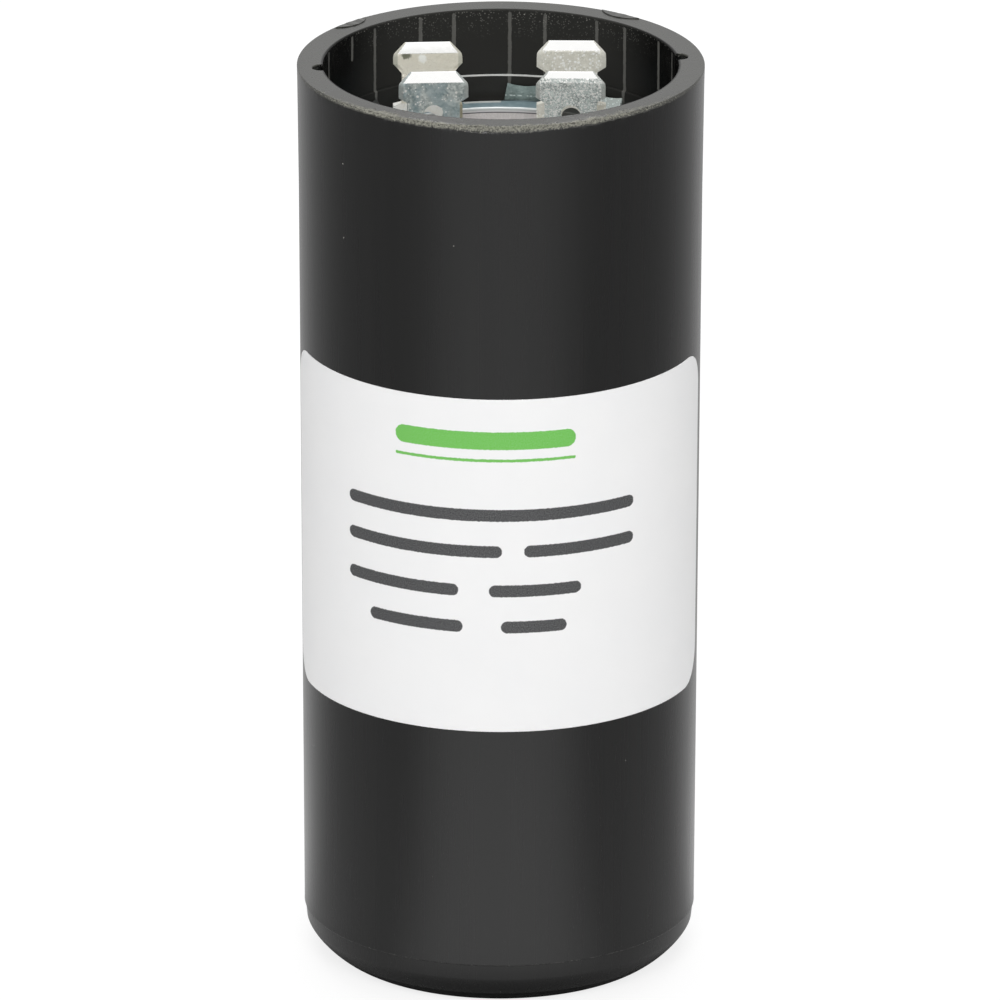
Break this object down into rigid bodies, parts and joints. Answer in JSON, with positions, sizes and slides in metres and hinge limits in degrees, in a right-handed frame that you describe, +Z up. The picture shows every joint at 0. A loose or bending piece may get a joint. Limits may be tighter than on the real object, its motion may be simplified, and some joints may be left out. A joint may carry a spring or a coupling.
{
  "type": "motor start capacitor",
  "caption": "Cylindrical motor start capacitor: black moulded cup with a blank white label and double push-on blade terminals locked in its open top by a star ring.",
  "frame": {"origin": "centre of the cup's base, on the surface that it stands on", "axes": "+Z up along the cup's axis towards the terminals, -Y towards the middle of the label, +X to the right of someone who faces the label"},
  "size_m": [0.0372, 0.0372, 0.0865],
  "materials": {
    "phenolic": "moulded, semi-matt black",
    "label_stock": "smooth white label, faint sheen",
    "header_board": "pressed board, warm grey",
    "seal_rubber": "dull black rubber",
    "vent_rubber": "dull dark rubber",
    "zinc_steel": "zinc plated, bluish",
    "tinned_sheet": "plated sheet, spangled",
    "rivet_metal": "satin aluminium",
    "washer_metal": "plain aluminium",
    "foil_tab": "soft bright foil",
    "foil_roll": "etched foil edges and paper",
    "kraft_paper": "plain kraft paper",
    "pitch": "set black compound"
  },
  "bodies": {
    "root": {"case_cup": "phenolic", "label": "label_stock", "header_disc": "header_board", "seal_gasket": "seal_rubber", "vent_plug": "vent_rubber", "retaining_ring": "zinc_steel", "terminal_left": "tinned_sheet", "terminal_right": "tinned_sheet", "rivet_left": "rivet_metal", "rivet_right": "rivet_metal", "washer_left": "washer_metal", "washer_right": "washer_metal", "lead_tab_left": "foil_tab", "lead_tab_right": "foil_tab", "winding_roll": "foil_roll", "roll_wrap": "kraft_paper", "anchor_compound": "pitch"}
  },
  "joints": []
}
